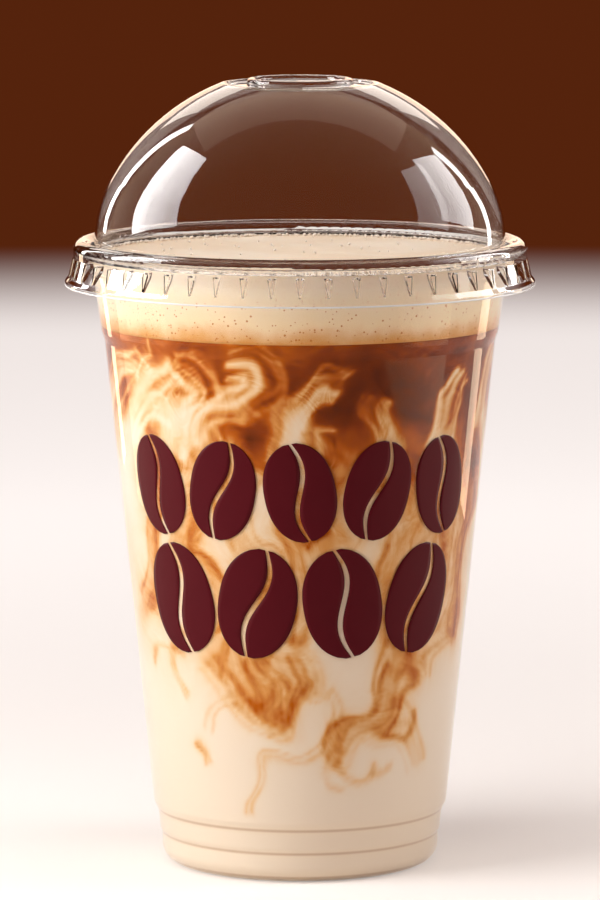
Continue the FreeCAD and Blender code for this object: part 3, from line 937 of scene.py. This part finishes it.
def bean_half(left, t, size):
    """Inner and outer edge of one half of a bean across, at t from -1 at its foot to 1 at its tip."""
    swell = math.sqrt(max(0.0, 1.0 - abs(t) ** BEAN_FULLNESS)) * size[0] / 2
    bend = math.sin(t * math.pi) * size[0] * SEAM_BEND
    gap = size[0] * SEAM_WIDTH * (1.0 - SEAM_NARROWS * t * t)
    if left:
        return -swell, min(bend - gap, swell)
    return max(bend + gap, -swell), swell


def bean_points(side, left, size, degrees, centre_height, lean):
    """Grid of points on the front of one half of a bean, then the same on its back, in the cup's wall."""
    down, across = BEAN_GRID
    points = []
    for proud in (INK_PROUD, -INK_SUNK):
        for j in range(down + 1):
            t = BEAN_BLUNT * (2 * j / down - 1)
            inner, outer = bean_half(left, t, size)
            for i in range(across + 1):
                x = inner + (outer - inner) * i / across
                z = t * size[1] / 2
                along = x * math.cos(lean) - z * math.sin(lean)
                height = centre_height + x * math.sin(lean) + z * math.cos(lean)
                radius = float(side_radius(side, height)) + CUP_SHEET + proud
                angle = math.radians(degrees) + along / radius
                points.append((radius * math.sin(angle), -radius * math.cos(angle), height))
    return points


def make_print(material, side):
    """Two rows of coffee beans, printed on the front in one colour as a thin coat of ink."""
    vertices, faces = [], []
    down, across = BEAN_GRID
    for centre_height, size, places in BEAN_ROWS:
        for number, degrees in enumerate(places):
            lean = math.radians(BEAN_LEAN * (-1) ** number)
            for left in (True, False):
                faces += shell_faces(len(vertices), down + 1, across + 1)
                vertices += bean_points(side, left, size, degrees, centre_height, lean)
    piece = mesh_object("bean_print", vertices, faces, material)
    for polygon in piece.data.polygons:
        outward = Vector((polygon.center.x, polygon.center.y, 0.0)).normalized()
        polygon.use_smooth = abs(polygon.normal.dot(outward)) > 0.5
    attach(piece, "root")


def shell_faces(start, rows, columns):
    """Faces of a thin closed shell from a front and a back grid of points that follow each other."""
    def front(j, i):
        return start + j * columns + i

    def back(j, i):
        return start + (rows + j) * columns + i

    faces = []
    end = columns - 1
    top = rows - 1
    for j in range(top):
        for i in range(end):
            faces.append((front(j, i), front(j, i + 1), front(j + 1, i + 1), front(j + 1, i)))
            faces.append((back(j, i), back(j + 1, i), back(j + 1, i + 1), back(j, i + 1)))
        faces.append((front(j, 0), front(j + 1, 0), back(j + 1, 0), back(j, 0)))
        faces.append((front(j, end), back(j, end), back(j + 1, end), front(j + 1, end)))
    for i in range(end):
        faces.append((front(0, i), back(0, i), back(0, i + 1), front(0, i + 1)))
        faces.append((front(top, i), front(top, i + 1), back(top, i + 1), back(top, i)))
    return faces


def make_bubbles(material, side):
    """Small bubbles on the foam: most in a ring along the wall, a few out on the top."""
    rng = random.Random(BUBBLE_SEED)
    ball = bmesh.new()
    bmesh.ops.create_icosphere(ball, subdivisions=2, radius=1.0)
    points = [tuple(v.co) for v in ball.verts]
    sides = [tuple(v.index for v in f.verts) for f in ball.faces]
    ball.free()
    top_radius, top = side[-1]
    spots = []
    for number in range(BUBBLES_AT_WALL):
        angle = 2 * math.pi * (number + rng.uniform(-BUBBLE_SCATTER, BUBBLE_SCATTER)) / BUBBLES_AT_WALL
        size = rng.uniform(*WALL_BUBBLE_SIZE)
        spots.append((top_radius - size - rng.random() ** 2 * BUBBLE_BAND, angle, size))
    for number in range(BUBBLES_ON_TOP):
        size = rng.uniform(*TOP_BUBBLE_SIZE)
        radius = top_radius * math.sqrt(rng.random()) * BUBBLE_AREA
        spots.append((radius, rng.uniform(0, 2 * math.pi), size))
    vertices, faces = [], []
    for radius, angle, size in spots:
        start = len(vertices)
        centre = Vector(turned(radius, angle, top + size * BUBBLE_RISE))
        vertices += [tuple(centre + Vector(point) * size) for point in points]
        faces += [tuple(start + i for i in face) for face in sides]
    piece = mesh_object("foam_bubbles", vertices, faces, material)
    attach(piece, "root")


def make_cut_edge(material):
    """The frosted ring along the bottom of the lid's brim, whose pale colour is partly a painted highlight.
    """
    low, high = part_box("lid")
    outer = high.x + CUT_EDGE_PROUD
    inner = high.x - LID_SHEET
    corners = [
        (inner, low.z),
        (outer - CUT_EDGE_CORNER, low.z - CUT_EDGE_PROUD),
        (outer, low.z + CUT_EDGE_CORNER),
        (outer, low.z + CUT_EDGE_HEIGHT),
        (inner, low.z + CUT_EDGE_HEIGHT),
    ]
    count = len(corners)
    vertices, faces = [], []
    for i in range(SEGMENTS):
        angle = 2 * math.pi * i / SEGMENTS
        vertices += [turned(radius, angle, height) for radius, height in corners]
        here = i * count
        there = (i + 1) % SEGMENTS * count
        for j in range(count):
            after = (j + 1) % count
            faces.append((here + j, there + j, there + after, here + after))
    piece = mesh_object("lid_cut_edge_highlight", vertices, faces, material)
    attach(piece, "root")


def foam_row(radius, top, share):
    """A ring of the foam's top: nearly level, with soft low swells and a lip that climbs the wall."""
    lip = FOAM_LIP * math.exp(-(1.0 - share) / LIP_WIDTH)
    calm = min(1.0, (1.0 - share) * CALM_EDGE)

    def row(angle):
        place = Vector(turned(radius, angle, 0.0)) / CM
        swell = sum(noise.noise(place * waves) * height for waves, height in FOAM_SWELLS)
        return radius, top - FOAM_SAG + swell * calm + lip

    return row


def make_foam(material):
    side = filled_in(thinned(outline("foam")[1], FOAM_LEAST_STEP), FOAM_STEP)
    side = [(radius + INTO_WALL, height) for radius, height in side]
    rows = [fixed_row(side[0][0] * 0.5, side[0][1])]
    rows += [fixed_row(radius, height) for radius, height in side]
    top_radius, top = side[-1]
    for step in range(1, FOAM_RINGS):
        share = 1 - step / FOAM_RINGS
        rows.append(foam_row(top_radius * share, top, share))
    vertices, faces = lathe(rows)
    piece = mesh_object("foam_layer", vertices, faces, material)
    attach(piece, "root")
    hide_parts("foam")


# ---------------- studio

def make_floor():
    vertices, faces = [], []
    for ring in TABLE_RINGS:
        for i in range(TABLE_SIDES):
            vertices.append(turned(ring, 2 * math.pi * i / TABLE_SIDES, FOOT_LEVEL - TABLE_GAP))
    for j in range(len(TABLE_RINGS) - 1):
        inner = j * TABLE_SIDES
        outer = inner + TABLE_SIDES
        for i in range(TABLE_SIDES):
            after = (i + 1) % TABLE_SIDES
            faces.append((inner + i, outer + i, outer + after, inner + after))
    floor = mesh_object("table_top", vertices, faces, new_material("pale_table", pale_table))


def make_camera():
    data = bpy.data.cameras.new("camera")
    data.lens = CAMERA_LENS
    data.clip_start = 0.01
    data.clip_end = 20.0
    camera = bpy.data.objects.new("camera", data)
    camera.location = (0.0, -CAMERA_DISTANCE, CAMERA_HEIGHT)
    camera.rotation_euler = (math.pi / 2 - CAMERA_PITCH, 0.0, 0.0)
    bpy.context.scene.collection.objects.link(camera)
    bpy.context.scene.camera = camera


def lamp(name, centre, facing, up, size, radiance, colour=WHITE, shines=True, mirrored=True):
    """A rectangular lamp. Radiance is how bright its face is.

    It may light surfaces, be mirrored in them, or both.
    """
    data = bpy.data.lights.new(name, "AREA")
    data.shape = "RECTANGLE"
    data.size, data.size_y = size
    data.energy = radiance * math.pi * size[0] * size[1]
    data.color = colour
    piece = bpy.data.objects.new(name, data)
    back = -Vector(facing).normalized()
    across = Vector(up).cross(back).normalized()
    upward = back.cross(across)
    piece.matrix_world = Matrix.Translation(centre) @ Matrix((across, upward, back)).transposed().to_4x4()
    piece.visible_camera = False
    piece.visible_diffuse = shines
    piece.visible_glossy = mirrored
    piece.visible_transmission = False
    bpy.context.scene.collection.objects.link(piece)


def make_lights():
    for lit in DRINK_LAMPS:
        lamp(*lit, mirrored=False)
    for reflected in MIRRORED_LAMPS:
        lamp(*reflected, shines=False)


def make_world():
    world = bpy.data.worlds.new("room")
    world.use_nodes = True
    background = world.node_tree.nodes["Background"]
    background.inputs["Color"].default_value = (*ROOM_BROWN, 1.0)
    background.inputs["Strength"].default_value = 1.0
    bpy.context.scene.world = world


make_camera()
make_floor()
make_lights()
make_world()
bpy.context.scene.view_settings.view_transform = "Standard"

for node, waves in SHEET_WAVES.items():
    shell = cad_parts[node]
    shell.data.materials.clear()
    shell.data.materials.append(new_material(f"clear_{node}_sheet", clear_sheet, *waves))
    shell.visible_diffuse = False  # soft light that the drink throws back passes the clear sheet freely
make_latte(new_material("marbled_latte", marbled_latte))
make_foam(new_material("foamed_milk", foamed_milk))
make_bubbles(new_material("bubble_film", bubble_film), outline("foam")[1])
make_print(new_material("maroon_ink", maroon_ink), outline("latte")[1])
make_cut_edge(new_material("frosted_highlight_edge", frosted_highlight_edge))
